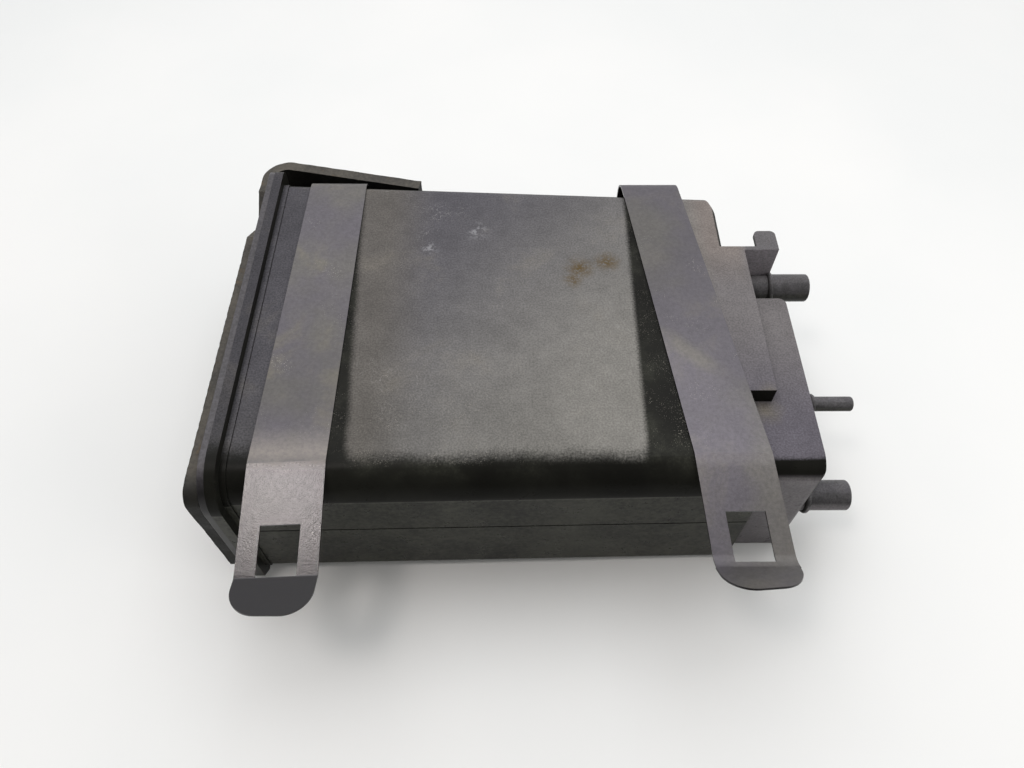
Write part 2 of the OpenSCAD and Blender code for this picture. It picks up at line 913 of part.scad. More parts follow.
housing();
end_cover();
buffer_mat();
left_strap();
right_strap();
main_carbon();
vent_carbon();
tank_pad();
purge_pad();
vent_pad();
main_cover_pad();
vent_cover_pad();
main_retainer();
vent_retainer();
spring_at(main_springs[0]);  // main_spring_1
spring_at(main_springs[1]);  // main_spring_2
spring_at(main_springs[2]);  // main_spring_3
spring_at(main_springs[3]);  // main_spring_4
spring_at(vent_springs[0]);  // vent_spring_1
spring_at(vent_springs[1]);  // vent_spring_2
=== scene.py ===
"""Looks of the charcoal canister: plastic box, rubber mat and steel straps on a pale floor.

Metres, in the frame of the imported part: +X to the hose spigots, +Y to the back wall, +Z up.
"""
import json
import math
from collections import namedtuple

import bmesh
import bpy
from mathutils import Matrix, Vector, noise


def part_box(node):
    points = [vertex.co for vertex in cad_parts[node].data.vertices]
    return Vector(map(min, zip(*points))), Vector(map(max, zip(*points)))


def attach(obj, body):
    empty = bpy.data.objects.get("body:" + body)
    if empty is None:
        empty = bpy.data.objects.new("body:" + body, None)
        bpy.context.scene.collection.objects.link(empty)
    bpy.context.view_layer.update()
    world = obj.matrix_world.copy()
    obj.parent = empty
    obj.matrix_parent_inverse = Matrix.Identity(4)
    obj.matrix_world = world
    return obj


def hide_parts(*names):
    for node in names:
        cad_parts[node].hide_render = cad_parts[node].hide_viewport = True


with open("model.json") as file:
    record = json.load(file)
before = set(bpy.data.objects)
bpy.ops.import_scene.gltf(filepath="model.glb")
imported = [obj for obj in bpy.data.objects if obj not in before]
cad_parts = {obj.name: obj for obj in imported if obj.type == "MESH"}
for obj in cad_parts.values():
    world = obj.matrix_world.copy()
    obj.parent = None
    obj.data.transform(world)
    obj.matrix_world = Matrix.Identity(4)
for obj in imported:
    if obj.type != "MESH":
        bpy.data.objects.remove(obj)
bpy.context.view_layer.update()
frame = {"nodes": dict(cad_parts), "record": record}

MM = 0.001

Panel = namedtuple("Panel", "name at aim size watts colour")
Skin = namedtuple("Skin", "node slot weld bevel sharp work")
Grains = namedtuple("Grains", "patches cloudy coarse grain")
Spot = namedtuple("Spot", "x y radius")

# Camera, as fitted to the photograph's straight edges
IMAGE_W = 1024
FOCAL_PX = 781.81
SENSOR_MM = 36.0
CLIP_START = 0.01
CAMERA_AT = Vector((-0.01695, -0.24125, 0.41438))
PITCH_DOWN = math.radians(55.906)
YAW_RIGHT = math.radians(0.346)
ROLL_LEFT = math.radians(0.173)

# Where the canister rests: its lip at the left and the right strap's lip
LIP_EDGE_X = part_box("end_cover")[0].x + 8.4 * MM
STRAP_LIP_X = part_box("right_strap")[0].x + 40.2 * MM
FLOOR_TILT = math.atan2(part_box("right_strap")[0].z, STRAP_LIP_X - LIP_EDGE_X)
FLOOR_HALF = 12.0

# Room light, brightest behind and a little to the right
BRIGHT_SIDE = (math.sin(math.radians(16)), math.cos(math.radians(16)), 0.0)
ROOM_FADE = (-0.75, 1.0)
ROOM_DIM = (0.070, 0.068, 0.060, 1.0)
ROOM_BRIGHT = (1.29, 1.30, 1.31, 1.0)

# Lamps; the last one stands where the left strap's slope mirrors it to the camera
PANELS = (
    Panel("overhead", at=(-0.14, 0.44, 1.40), aim=(-0.08, 0.15, 0.05),
          size=(1.7, 1.0), watts=11.2, colour=(0.99, 0.99, 1.0)),
    Panel("side", at=(1.00, -0.50, 0.60), aim=(0.10, -0.05, 0.05),
          size=(0.7, 0.7), watts=3.4, colour=(1.0, 0.985, 0.97)),
    Panel("lamp", at=(-0.457, -0.25, 1.36), aim=(-0.12, -0.085, 0.095),
          size=(0.28, 0.28), watts=2.8, colour=(1.0, 0.93, 0.89)),
)

# Edges of the skins
FLAT_ANGLE = math.radians(0.4)
BEVEL_ANGLE = math.radians(32)
BEVEL_SEGMENTS = 2

# Unevenness of the rubber mat
RUBBER_STEP = 3.0 * MM
RUBBER_WAVE = 14.0 * MM
RUBBER_DENT = 5.0 * MM
RUBBER_DEPTH = 1.0 * MM

# Edges of the housing's dust beside the straps: slope, and x where y is 0
LEFT_DUST_EDGE = (-0.0507, -0.0960)
RIGHT_DUST_EDGE = (0.0151, 0.0471)

# Places on the housing; a pair says where a fade starts and ends
LEFT_EDGE_FADE = (-0.0042, 0.0042)
RIGHT_EDGE_FADE = (0.0042, -0.0022)
RIGHT_TRACE_END = (0.030, 0.036)
DUST_FRONT_Y = (-0.0760, -0.0580)
LIP_DUST_X = (-0.112, -0.118)
LIP_FRONT_X = (-0.108, -0.114)
BEHIND_LIP_X = (-0.112, -0.108)
BEFORE_PORTS_X = (0.100, 0.090)
OFF_BLOCK_X = (0.104, 0.098)
FRONT_RIGHT_FADE = (-0.15, 0.09)
LEFT_BROWN_X = (-0.055, -0.088)
DULL_LEFT_X = (0.03, -0.01)
DULL_FRONT_Y = (-0.01, -0.05)
LIP_SHADE_X = (-0.134, -0.128)
LIP_END_SHADE_X = (-0.149, -0.147)
SPIGOT_SHADE_X = (0.137, 0.133)
PORT_TONE_X = (0.080, 0.096)
PORT_BACK_Y = (-0.05, 0.02)
PORT_CORNER_X = (0.116, 0.108)
PORT_CORNER_Y = (0.03, 0.07)
PORT_END_X = (0.10, 0.12)
PORT_FRONT_X = (0.104, 0.110)
BLOCK_FRONT_Y = (-0.052, -0.058)
HOOK_PLATE_Y = (0.045, 0.055)
HOOK_PLATE_Z = (0.073, 0.077)
SPIGOT_X = (0.1335, 0.1345)
TANK_SPIGOT_X = (0.1134, 0.1144)
TANK_SPIGOT_Y = (0.035, 0.040)
FRONT_WALL_NY = (-0.85, -0.95)
WALL_TOP_Z = 0.0822
SCUFFS = (Spot(-0.0345, 0.0770, 0.0075), Spot(-0.0610, 0.0640, 0.0060))
RUST = (Spot(0.0214, 0.0485, 0.0100), Spot(0.0362, 0.0530, 0.0085),
        Spot(0.0175, 0.0402, 0.0068))
PORT_STAIN = Spot(0.1090, -0.0365, 0.0100)

# Places on the mat and the straps, in the same way
MAT_BACK_Y = (-0.086, -0.070)
RIGHT_STRAP_X = (-0.02, 0.02)
LEFT_DUST_END_Y = (-0.078, -0.066)
RIGHT_DUST_LONGER = 0.100
STRAP_FRONT_Y = (0.05, -0.03)
LEFT_CREASE_Y = (-0.068, -0.072)
LEFT_SHEEN_Y = (-0.050, -0.0695)
LEFT_TAB_Y = (-0.1195, -0.1175)
RIGHT_CREASE_Y = (-0.0660, -0.0666)
RIGHT_BEND_Y = (-0.042, -0.096)
RIGHT_TAB_Y = (-0.114, -0.110)
PALE_CREASE_Y = (-0.040, -0.062)
DIM_SLOPE_Y = (-0.074, -0.069)
SPECKS_END_Y = (-0.112, -0.108)
TAN_BAND_X_PLUS_Y = 0.0649
TAN_BAND_WIDTH = (0.011, 0.001)
TAN_BAND_SIDES = (-0.008, 0.006)
TAN_BAND_FRONT_Y = (-0.026, -0.016)
TAN_BAND_BACK_Y = (0.012, 0.002)
STRAP_STAIN = Spot(0.0628, 0.0552, 0.013)

# Tones of the housing
PLASTIC_BARE = (0.0050, 0.0048, 0.0044)
PLASTIC_FILM = (0.52, 0.53, 0.41)
DUST_BACK_LEFT = (0.092, 0.089, 0.100)
DUST_FRONT_RIGHT = (0.204, 0.197, 0.182)
DUST_BROWN = (0.120, 0.110, 0.096)
DUST_PATCH = (0.165, 0.150, 0.125)
PORT_DUST_FRONT = (0.114, 0.106, 0.124)
PORT_DUST_BACK = (0.152, 0.142, 0.144)
PORT_DUST_CORNER = (0.190, 0.166, 0.154)
PORT_STAIN_TONE = (0.170, 0.152, 0.110)
# Dust and painted light on the port end's front faces
PORT_FRONT_DUST_AND_LIGHT = (0.285, 0.262, 0.285)
SPIGOT_FILM = (0.112, 0.108, 0.113)
SPECK_TONE = (0.37, 0.345, 0.295)
WISP_TONE = (0.42, 0.41, 0.40)
SCUFF_TONE = (0.40, 0.40, 0.42)
RUST_TONE = (0.094, 0.062, 0.021)
RIDGE_TONE = (0.55, 0.54, 0.50)

# Tones of the cover, the mat and the floor
COVER_DARK = (0.008, 0.008, 0.009)
COVER_LIGHT = (0.024, 0.022, 0.022)
COVER_DUST = (0.074, 0.068, 0.076)
RUBBER_DARK = (0.006, 0.006, 0.0055)
RUBBER_LIGHT = (0.016, 0.015, 0.012)
RUBBER_DUST = (0.098, 0.088, 0.074)
RUBBER_STAIN = (0.120, 0.078, 0.036)
FLOOR_COOL = (0.78, 0.79, 0.785)
FLOOR_WARM = (0.83, 0.83, 0.82)

# Tones of the straps
COAT_PURPLE = (0.034, 0.031, 0.035)
COAT_GREY = (0.028, 0.026, 0.028)
STRAP_DUST_COOL = (0.122, 0.112, 0.128)
STRAP_DUST_WARM = (0.134, 0.126, 0.120)
STRAP_TAN = (0.172, 0.156, 0.120)
STRAP_BAND = (0.172, 0.160, 0.138)
# Painted highlight tone for the left strap's flat just behind its crease
STRAP_PAINTED_SHEEN = (0.225, 0.202, 0.182)
STRAP_SPECK = (0.40, 0.38, 0.34)

# Looks of the pieces inside: dark tone, light tone, scale of the grain, roughness, metallic
INSIDE = {
    "carbon": ((0.006, 0.006, 0.006), (0.03, 0.03, 0.03), 700.0, 0.75, 0.0),
    "pad_felt": ((0.45, 0.43, 0.38), (0.62, 0.60, 0.54), 500.0, 0.9, 0.0),
    "retainer_plastic": ((0.09, 0.09, 0.095), (0.14, 0.14, 0.145), 300.0, 0.5, 0.0),
    "spring_steel": ((0.40, 0.40, 0.42), (0.56, 0.56, 0.58), 900.0, 0.35, 1.0),
}


class Graph:
    """Adds and links the shader nodes of one material."""

    def __init__(self, name):
        self.material = bpy.data.materials.new(name)
        self.material.use_nodes = True
        self.tree = self.material.node_tree
        self.shader = self.tree.nodes["Principled BSDF"]
        coordinates = self.add("ShaderNodeTexCoord")
        self.point = coordinates.outputs["Object"]
        split = self.add("ShaderNodeSeparateXYZ")
        self.link(self.point, split.inputs[0])
        self.x, self.y, self.z = split.outputs
        facing = self.add("ShaderNodeSeparateXYZ")
        self.link(coordinates.outputs["Normal"], facing.inputs[0])
        self.nx, self.ny, self.nz = facing.outputs

    def add(self, kind, **settings):
        node = self.tree.nodes.new(kind)
        for name, value in settings.items():
            setattr(node, name, value)
        return node

    def link(self, value, socket):
        """Links an output to the socket, or sets the socket to a number or a tone."""
        if isinstance(value, bpy.types.NodeSocket):
            self.tree.links.new(value, socket)
            return
        rgba = hasattr(socket.default_value, "__len__") and len(socket.default_value) == 4
        socket.default_value = (*value, 1.0) if rgba and len(value) == 3 else value

    def math(self, operation, *values):
        node = self.add("ShaderNodeMath", operation=operation)
        for value, socket in zip(values, node.inputs):
            self.link(value, socket)
        return node.outputs[0]

    def times(self, *values):
        result = values[0]
        for value in values[1:]:
            result = self.math("MULTIPLY", result, value)
        return result

    def largest(self, *values):
        result = values[0]
        for value in values[1:]:
            result = self.math("MAXIMUM", result, value)
        return result

    def plus(self, a, b):
        return self.math("ADD", a, b)

    def minus(self, a, b):
        return self.math("SUBTRACT", a, b)

    def inverse(self, value):
        return self.minus(1.0, value)

    def line(self, value, slope, start):
        return self.math("MULTIPLY_ADD", value, slope, start)

    def step(self, value, low, high, out_low=0.0, out_high=1.0):
        """Smooth step of value from low to high."""
        node = self.add("ShaderNodeMapRange", interpolation_type="SMOOTHSTEP")
        for socket, item in zip(node.inputs, (value, low, high, out_low, out_high)):
            self.link(item, socket)
        return node.outputs[0]

    def scaled(self, colour, factor):
        node = self.add("ShaderNodeVectorMath", operation="SCALE")
        self.link(colour, node.inputs[0])
        self.link(factor, node.inputs["Scale"])
        return node.outputs[0]

    def noise(self, scale, detail=4.0, roughness=0.55, distortion=0.0):
        node = self.add("ShaderNodeTexNoise")
        self.link(self.point, node.inputs["Vector"])
        for name, value in (("Scale", scale), ("Detail", detail), ("Roughness", roughness),
                            ("Distortion", distortion)):
            node.inputs[name].default_value = value
        return node.outputs[0]

    def dots(self, scale, size):
        """One inside scattered dots, nothing outside."""
        node = self.add("ShaderNodeTexVoronoi")
        self.link(self.point, node.inputs["Vector"])
        node.inputs["Scale"].default_value = scale
        return self.math("LESS_THAN", node.outputs["Distance"], size)

    def mix(self, factor, a, b):
        node = self.add("ShaderNodeMix", data_type="RGBA")
        for name, value in (("Factor_Float", factor), ("A_Color", a), ("B_Color", b)):
            socket = next(s for s in node.inputs if s.identifier == name)
            self.link(value, socket)
        return next(s for s in node.outputs if s.identifier == "Result_Color")

    def spot(self, place):
        """One inside a ragged round spot on a level face, nothing outside."""
        dx = self.minus(self.x, place.x)
        dy = self.minus(self.y, place.y)
        far = self.math("SQRT", self.plus(self.times(dx, dx), self.times(dy, dy)))
        ragged = self.plus(far, self.times(self.noise(140.0, 5.0), place.radius * 0.9))
        return self.step(ragged, place.radius * 1.6, place.radius * 0.32)

    def spots(self, places):
        return self.largest(*(self.spot(place) for place in places))

    def bump(self, *layers):
        """Normal from (height, strength, distance) layers, finest last."""
        normal = None
        for height, strength, distance in layers:
            node = self.add("ShaderNodeBump")
            node.inputs["Strength"].default_value = strength
            node.inputs["Distance"].default_value = distance
            self.link(height, node.inputs["Height"])
            if normal:
                self.link(normal, node.inputs["Normal"])
            normal = node.outputs[0]
        return normal

    def finish(self, colour, roughness, normal=None, metallic=0.0, specular=0.5):
        """Links what varies and sets what does not."""
        self.link(colour, self.shader.inputs["Base Color"])
        self.link(roughness, self.shader.inputs["Roughness"])
        if normal:
            self.link(normal, self.shader.inputs["Normal"])
        self.shader.inputs["Metallic"].default_value = metallic
        self.link(specular, self.shader.inputs["Specular IOR Level"])
        return self.material


def housing_plastic():
    """Black moulding: dust on its level faces, clean where the straps used to lie; painted shade
    near the lip and spigots, painted light on the port end's front faces.
    """
    g = Graph("housing_plastic")
    n = Grains(patches=g.noise(30.0, 5.0, 0.6, 0.4), cloudy=g.noise(130.0, 5.0, 0.65),
               coarse=g.noise(420.0, 4.0, 0.7), grain=g.noise(1100.0, 2.0, 0.5))
    level = g.largest(g.step(g.x, *OFF_BLOCK_X), g.step(g.nz, 0.88, 0.995))
    up = g.times(g.step(g.nz, 0.80, 0.985), level)
    between = g.times(g.step(g.x, *BEHIND_LIP_X), g.step(g.x, *BEFORE_PORTS_X))
    shade = g.times(g.step(n.patches, 0.2, 0.8, 0.88, 1.10),
                    g.step(n.cloudy, 0.25, 0.75, 0.92, 1.08),
                    g.step(n.grain, 0.25, 0.75, 0.80, 1.20))
    dust = housing_dust(g, n, up)
    dust_tone = g.scaled(housing_dust_tone(g, n, between), shade)
    colour = g.mix(dust, bare_housing(g, n, between), dust_tone)
    colour = add_specks(g, n, colour, between)
    colour = add_port_films_and_light(g, n, colour, shade)
    colour = add_marks(g, colour, up, g.times(dust, between))
    colour = add_ridge(g, n, colour)
    uneven = g.times(g.minus(n.cloudy, 0.5), 0.2)
    roughness = g.plus(g.step(dust, 0.0, 1.0, 0.30, 0.66), uneven)
    specular = g.step(g.z, WALL_TOP_Z, WALL_TOP_Z - 1.0 * MM, 0.05, 0.09)
    normal = g.bump((n.patches, 0.04, 0.0006), (n.coarse, 0.08, 0.0002))
    return g.finish(colour, roughness, normal, specular=specular)


def housing_dust(g, n, up):
    """Where dust lies on the housing, grainy along its edges."""
    ragged = g.times(g.minus(n.patches, 0.5), 0.014)
    past_left = g.plus(g.minus(g.x, g.line(g.y, *LEFT_DUST_EDGE)), g.times(ragged, 0.25))
    past_right = g.minus(g.x, g.line(g.y, *RIGHT_DUST_EDGE))
    clear_of_left = g.plus(g.step(past_left, *LEFT_EDGE_FADE),
                           g.times(g.step(g.x, *LIP_DUST_X), 0.75))
    clear_of_right = g.plus(g.step(past_right, *RIGHT_EDGE_FADE),
                            g.step(past_right, *RIGHT_TRACE_END))
    front = g.plus(g.line(g.step(g.x, *LIP_FRONT_X), -0.002, g.y), g.times(ragged, 0.8))
    cover = g.times(up, clear_of_left, clear_of_right, g.step(front, *DUST_FRONT_Y))
    stipple = g.plus(g.minus(n.grain, 0.5), g.times(g.minus(n.coarse, 0.5), 0.5))
    grainy = g.plus(cover, g.times(stipple, g.times(cover, g.inverse(cover)), 1.5))
    return g.step(grainy, 0.12, 0.92)


def housing_dust_tone(g, n, between):
    """Tone of the dust: paler to the front right, brown at the left, purple at the ports, with
    painted shade towards the lip and on the spigots.
    """
    to_front_right = g.step(g.line(g.y, -0.9, g.x), *FRONT_RIGHT_FADE)
    tone = g.mix(to_front_right, DUST_BACK_LEFT, DUST_FRONT_RIGHT)
    tone = g.mix(g.times(between, g.step(g.x, *LEFT_BROWN_X, 0.0, 0.7)), tone, DUST_BROWN)
    tone = g.mix(g.step(n.patches, 0.52, 0.78, 0.0, 0.4), tone, DUST_PATCH)
    dull = g.times(g.step(g.x, *DULL_LEFT_X), g.step(g.y, *DULL_FRONT_Y, 0.0, 0.12))
    tone = g.scaled(tone, g.inverse(dull))
    tone = g.mix(g.step(g.x, *PORT_TONE_X), tone, port_dust_tone(g))
    # Painted shade: darker dust towards the lip and on the spigots
    ends = g.times(g.step(g.x, *LIP_SHADE_X, 0.9, 1.0), g.step(g.x, *LIP_END_SHADE_X, 0.72, 1.0),
                   g.step(g.x, *SPIGOT_SHADE_X, 0.62, 1.0))
    return g.scaled(tone, ends)


def port_dust_tone(g):
    """Tone of the dust on the port block: paler at its back corner, with one stain."""
    tone = g.mix(g.step(g.y, *PORT_BACK_Y), PORT_DUST_FRONT, PORT_DUST_BACK)
    corner = g.times(g.step(g.y, *PORT_CORNER_Y), g.step(g.x, *PORT_CORNER_X))
    tone = g.mix(corner, tone, PORT_DUST_CORNER)
    return g.mix(g.times(g.spot(PORT_STAIN), 0.6), tone, PORT_STAIN_TONE)


def bare_housing(g, n, between):
    """Black plastic under a thin film, stronger on the front wall and the port end."""
    haze = g.times(g.step(g.nz, 0.60, 0.97), between,
                   g.step(g.noise(45.0, 5.0, 0.7), 0.46, 0.68),
                   g.step(n.grain, 0.2, 0.8, 0.25, 1.0), 0.035)
    front_wall = g.times(g.step(g.ny, *FRONT_WALL_NY),
                         g.step(g.z, WALL_TOP_Z, WALL_TOP_Z - 0.8 * MM))
    blotches = g.step(g.plus(n.coarse, g.times(n.patches, 0.8)), 0.60, 1.15)
    mottle = g.times(front_wall, blotches, 0.075)
    thin = g.step(g.noise(22.0, 4.0, 0.6), 0.3, 0.8, 0.006, 0.022)
    film = g.plus(thin, g.plus(haze, mottle))
    port_end = g.times(g.step(g.nx, 0.80, 0.97), g.step(g.x, *PORT_END_X),
                       g.step(n.cloudy, 0.25, 0.75, 0.03, 0.06))
    return g.mix(g.plus(film, port_end), PLASTIC_BARE, PLASTIC_FILM)


def add_specks(g, n, colour, between):
    """Pale specks on the top face, weaker towards the back."""
    size = g.step(g.noise(55.0, 3.0), 0.34, 0.68, 0.05, 0.29)
    specks = g.times(g.step(g.nz, 0.90, 0.99), between, g.dots(1300.0, size))
    seen = g.times(g.step(n.coarse, 0.4, 0.7, 0.08, 0.50), g.step(g.y, 0.05, -0.05, 0.5, 1.0))
    return g.mix(g.times(specks, seen), colour, SPECK_TONE)


def add_port_films_and_light(g, n, colour, shade):
    """Grey film on the front faces of the hook plate and the port block, partly dust and partly
    painted light, and on the spigots.
    """
    hook_plate = g.times(g.step(g.y, *HOOK_PLATE_Y), g.step(g.z, *HOOK_PLATE_Z, 0.0, 0.9))
    block = g.step(g.y, *BLOCK_FRONT_Y, 0.0, 0.45)
    # Front faces at the port end: dust film that also stands for painted light from the front
    # right
    front = g.times(g.step(g.ny, -0.80, -0.98), g.step(g.x, *PORT_FRONT_X),
                    g.plus(hook_plate, block))
    colour = g.mix(front, colour, g.scaled(PORT_FRONT_DUST_AND_LIGHT, shade))
    tank_spigot = g.times(g.step(g.x, *TANK_SPIGOT_X), g.step(g.y, *TANK_SPIGOT_Y))
    spigots = g.times(g.largest(g.step(g.x, *SPIGOT_X), tank_spigot),
                      g.step(g.nz, 0.05, 0.95, 0.15, 0.90),
                      g.step(n.cloudy, 0.25, 0.7, 0.6, 1.0))
    return g.mix(spigots, colour, g.scaled(SPIGOT_FILM, shade))


def add_marks(g, colour, up, dusty):
    """Pale wisps in the dust, two scuffs and three rust spots."""
    thread = g.math("ABSOLUTE", g.minus(g.noise(60.0, 3.0, 0.6, 2.2), 0.5))
    wisps = g.times(dusty, g.step(thread, 0.010, 0.002), g.step(g.noise(24.0, 2.0), 0.58, 0.68))
    colour = g.mix(g.times(wisps, 0.30), colour, WISP_TONE)
    scuffs = g.times(g.spots(SCUFFS), g.step(g.noise(300.0, 4.0, 0.6), 0.48, 0.58), up)
    colour = g.mix(g.times(scuffs, 0.45), colour, SCUFF_TONE)
    rust = g.times(g.spots(RUST), up, g.step(g.noise(650.0, 4.0, 0.7), 0.36, 0.52))
    return g.mix(g.times(rust, 0.9), colour, RUST_TONE)


def add_ridge(g, n, colour):
    """Pale line along the top of the front wall."""
    ridge = g.times(g.step(g.ny, *FRONT_WALL_NY),
                    g.step(g.z, WALL_TOP_Z - 1.7 * MM, WALL_TOP_Z - 1.0 * MM),
                    g.step(g.z, WALL_TOP_Z + 0.2 * MM, WALL_TOP_Z - 0.5 * MM))
    seen = g.times(ridge, g.step(n.cloudy, 0.3, 0.7, 0.02, 0.07))
    return g.mix(seen, colour, RIDGE_TONE)


def cover_plastic():
    """Dark plastic with grey dust on its level edge."""
    g = Graph("cover_plastic")
    patches = g.noise(45.0, 5.0, 0.6)
    grain = g.noise(700.0, 4.0, 0.6)
    up = g.step(g.nz, 0.6, 0.95)
    colour = g.mix(g.step(patches, 0.35, 0.75), COVER_DARK, COVER_LIGHT)
    colour = g.mix(g.times(up, g.step(grain, 0.3, 0.7, 0.35, 0.95)), colour, COVER_DUST)
    roughness = g.step(patches, 0.3, 0.8, 0.30, 0.48)
    return g.finish(colour, roughness, g.bump((grain, 0.12, 0.00015)), specular=0.35)


def mat_rubber():
    """Black rubber with dust and brown stains on its top edge, clean at the front."""
    g = Graph("mat_rubber")
    patches = g.noise(55.0, 6.0, 0.65, 0.3)
    grain = g.noise(520.0, 5.0, 0.7)
    up = g.step(g.nz, 0.4, 0.9)
    back = g.step(g.y, *MAT_BACK_Y)
    colour = g.mix(g.step(patches, 0.38, 0.68), RUBBER_DARK, RUBBER_LIGHT)
    uneven = g.step(g.plus(patches, g.times(grain, 0.6)), 0.55, 1.05, 0.25, 1.0)
    colour = g.mix(g.times(up, back, uneven), colour, RUBBER_DUST)
    stain = g.times(g.step(g.noise(70.0, 5.0, 0.7), 0.56, 0.70), up, back)
    colour = g.mix(g.times(stain, 0.55), colour, RUBBER_STAIN)
    roughness = g.step(patches, 0.3, 0.8, 0.60, 0.85)
    normal = g.bump((patches, 0.30, 0.0008), (grain, 0.45, 0.0004))
    return g.finish(colour, roughness, normal, specular=0.3)


def strap_steel():
    """Dark coat on thin sheet under grey dust, rubbed clean on the left strap's slope, with
    painted light and shade at the creases.
    """
    g = Graph("strap_steel")
    patches = g.noise(24.0, 6.0, 0.62, 0.5)
    grain = g.noise(620.0, 5.0, 0.7)
    peel = g.noise(1400.0, 2.0, 0.5)
    up = g.step(g.nz, 0.5, 0.95)
    right = g.step(g.x, *RIGHT_STRAP_X)
    ragged = g.times(g.minus(patches, 0.5), 0.02)
    behind = g.plus(g.minus(g.y, g.times(right, -RIGHT_DUST_LONGER)), ragged)
    dust = g.times(up, g.step(behind, *LEFT_DUST_END_Y))
    coat = g.mix(g.step(g.noise(12.0, 3.0), 0.35, 0.7), COAT_PURPLE, COAT_GREY)
    coat = g.scaled(coat, g.step(g.y, *LEFT_TAB_Y, 0.72, 1.0))
    colour = g.mix(dust, coat, strap_dust_tone(g, patches, grain, right))
    size = g.step(g.noise(50.0, 3.0), 0.45, 0.72, 0.0, 0.22)
    specks = g.times(up, g.step(g.y, *SPECKS_END_Y), g.dots(950.0, size))
    colour = g.mix(g.times(specks, 0.35), colour, STRAP_SPECK)
    roughness = g.plus(g.step(grain, 0.3, 0.8, 0.19, 0.26), g.times(dust, 0.30))
    rubbed = g.times(g.inverse(right), g.step(g.y, *LEFT_CREASE_Y), g.step(g.y, *LEFT_TAB_Y))
    normal = g.bump((peel, 0.26, 0.0002), (grain, 0.08, 0.0002))
    return g.finish(colour, roughness, normal, metallic=0.45, specular=g.line(rubbed, 0.5, 0.5))


def strap_dust_tone(g, patches, grain, right):
    """Tone of the dust: purple grey with tan patches, painted highlight just behind the creases
    and painted shade on the slopes past them.
    """
    tone = g.mix(g.step(g.noise(16.0, 4.0), 0.40, 0.62), STRAP_DUST_COOL, STRAP_DUST_WARM)
    tan = g.times(g.step(patches, 0.50, 0.66, 0.0, 0.55), g.line(right, -0.5, 1.0))
    tone = add_tan_band(g, g.mix(tan, tone, STRAP_TAN), right)
    uneven = g.times(g.step(grain, 0.25, 0.75, 0.82, 1.18), g.step(patches, 0.2, 0.8, 0.88, 1.08))
    tone = g.scaled(tone, uneven)
    to_front = g.step(g.y, *STRAP_FRONT_Y)
    along = g.plus(g.line(to_front, -0.16, 0.84), g.times(right, g.line(to_front, 0.34, -0.09)))
    tone = g.scaled(tone, along)
    tone = g.scaled(tone, g.step(g.y, *RIGHT_TAB_Y, 0.8, 1.0))
    # Painted shade on the slopes past the creases, and a painted highlight on the flat just behind
    # them
    crease = g.plus(g.step(g.y, *DIM_SLOPE_Y, 0.72, 1.0), g.step(g.y, *PALE_CREASE_Y, 0.0, 0.22))
    tone = g.scaled(tone, crease)
    # Painted highlight: pale band on the left strap's flat just behind its crease, where the slope
    # starts to catch the lamp
    painted_sheen = g.times(g.inverse(right), g.step(g.y, *LEFT_SHEEN_Y), g.step(grain, 0.3, 0.7, 0.55, 1.0))
    tone = g.mix(painted_sheen, tone, STRAP_PAINTED_SHEEN)
    # Painted light and shade across the right strap's crease
    return g.mix(right, tone, g.scaled(tone, right_crease_painted_light(g)))


def add_tan_band(g, tone, right):
    """Tan band across the right strap, with darker dust past it, and a stain at the back."""
    past = g.minus(g.plus(g.x, g.y), TAN_BAND_X_PLUS_Y)
    band = g.times(g.step(g.math("ABSOLUTE", past), *TAN_BAND_WIDTH),
                   g.step(g.y, *TAN_BAND_FRONT_Y), g.step(g.y, *TAN_BAND_BACK_Y),
                   g.step(g.noise(60.0, 4.0), 0.30, 0.60, 0.15, 0.65))
    band = g.largest(band, g.times(g.spot(STRAP_STAIN), 0.5))
    tone = g.mix(g.times(right, band), tone, STRAP_BAND)
    return g.mix(right, tone, g.scaled(tone, g.step(past, *TAN_BAND_SIDES, 1.07, 0.93)))


def right_crease_painted_light(g):
    """Painted light and shade on the right strap's dust across its crease, so that the crease
    reads as a gentle bend.
    """
    start, end = RIGHT_BEND_Y
    flat_end, slope_start = RIGHT_CREASE_Y
    return g.times(g.step(g.y, start, flat_end, 1.0, 0.86),
                   g.step(g.y, flat_end, slope_start, 1.0, 1.37),
                   g.step(g.y, slope_start, end, 1.0, 0.85))


def plain_grain(name, dark, light, scale, roughness, metallic):
    """Two-tone grain for the pieces inside the box."""
    g = Graph(name)
    grain = g.noise(scale, 5.0, 0.65)
    colour = g.mix(g.step(grain, 0.35, 0.7), dark, light)
    rough = g.step(grain, 0.3, 0.8, roughness - 0.08, roughness + 0.08)
    return g.finish(colour, rough, g.bump((grain, 0.4, 0.0004)), metallic=metallic)


def floor_paint():
    """Pale, nearly even floor."""
    g = Graph("floor")
    patches = g.noise(3.0, 4.0, 0.5)
    colour = g.mix(g.step(patches, 0.3, 0.7), FLOOR_COOL, FLOOR_WARM)
    return g.finish(colour, g.step(patches, 0.3, 0.7, 0.55, 0.65), specular=0.3)


def fresh_mesh(name, bm):
    """Mesh of a bmesh without the imported normals and attributes."""
    bm.verts.index_update()
    mesh = bpy.data.meshes.new(name)
    mesh.from_pydata([v.co[:] for v in bm.verts], [],
                     [[v.index for v in f.verts] for f in bm.faces])
    mesh.update()
    return mesh


def skin_mesh(skin):
    """Mesh of a CAD node with its flat faces joined, worked over where the skin says so."""
    bm = bmesh.new()
    bm.from_mesh(frame["nodes"][skin.node].data)
    bmesh.ops.remove_doubles(bm, verts=bm.verts, dist=skin.weld)
    bmesh.ops.dissolve_degenerate(bm, edges=bm.edges, dist=skin.weld / 4)
    bmesh.ops.dissolve_limit(bm, angle_limit=FLAT_ANGLE, verts=bm.verts, edges=bm.edges)
    if skin.work:
        skin.work(bm)
    mesh = fresh_mesh(skin.node + "_skin", bm)
    bm.free()
    return mesh


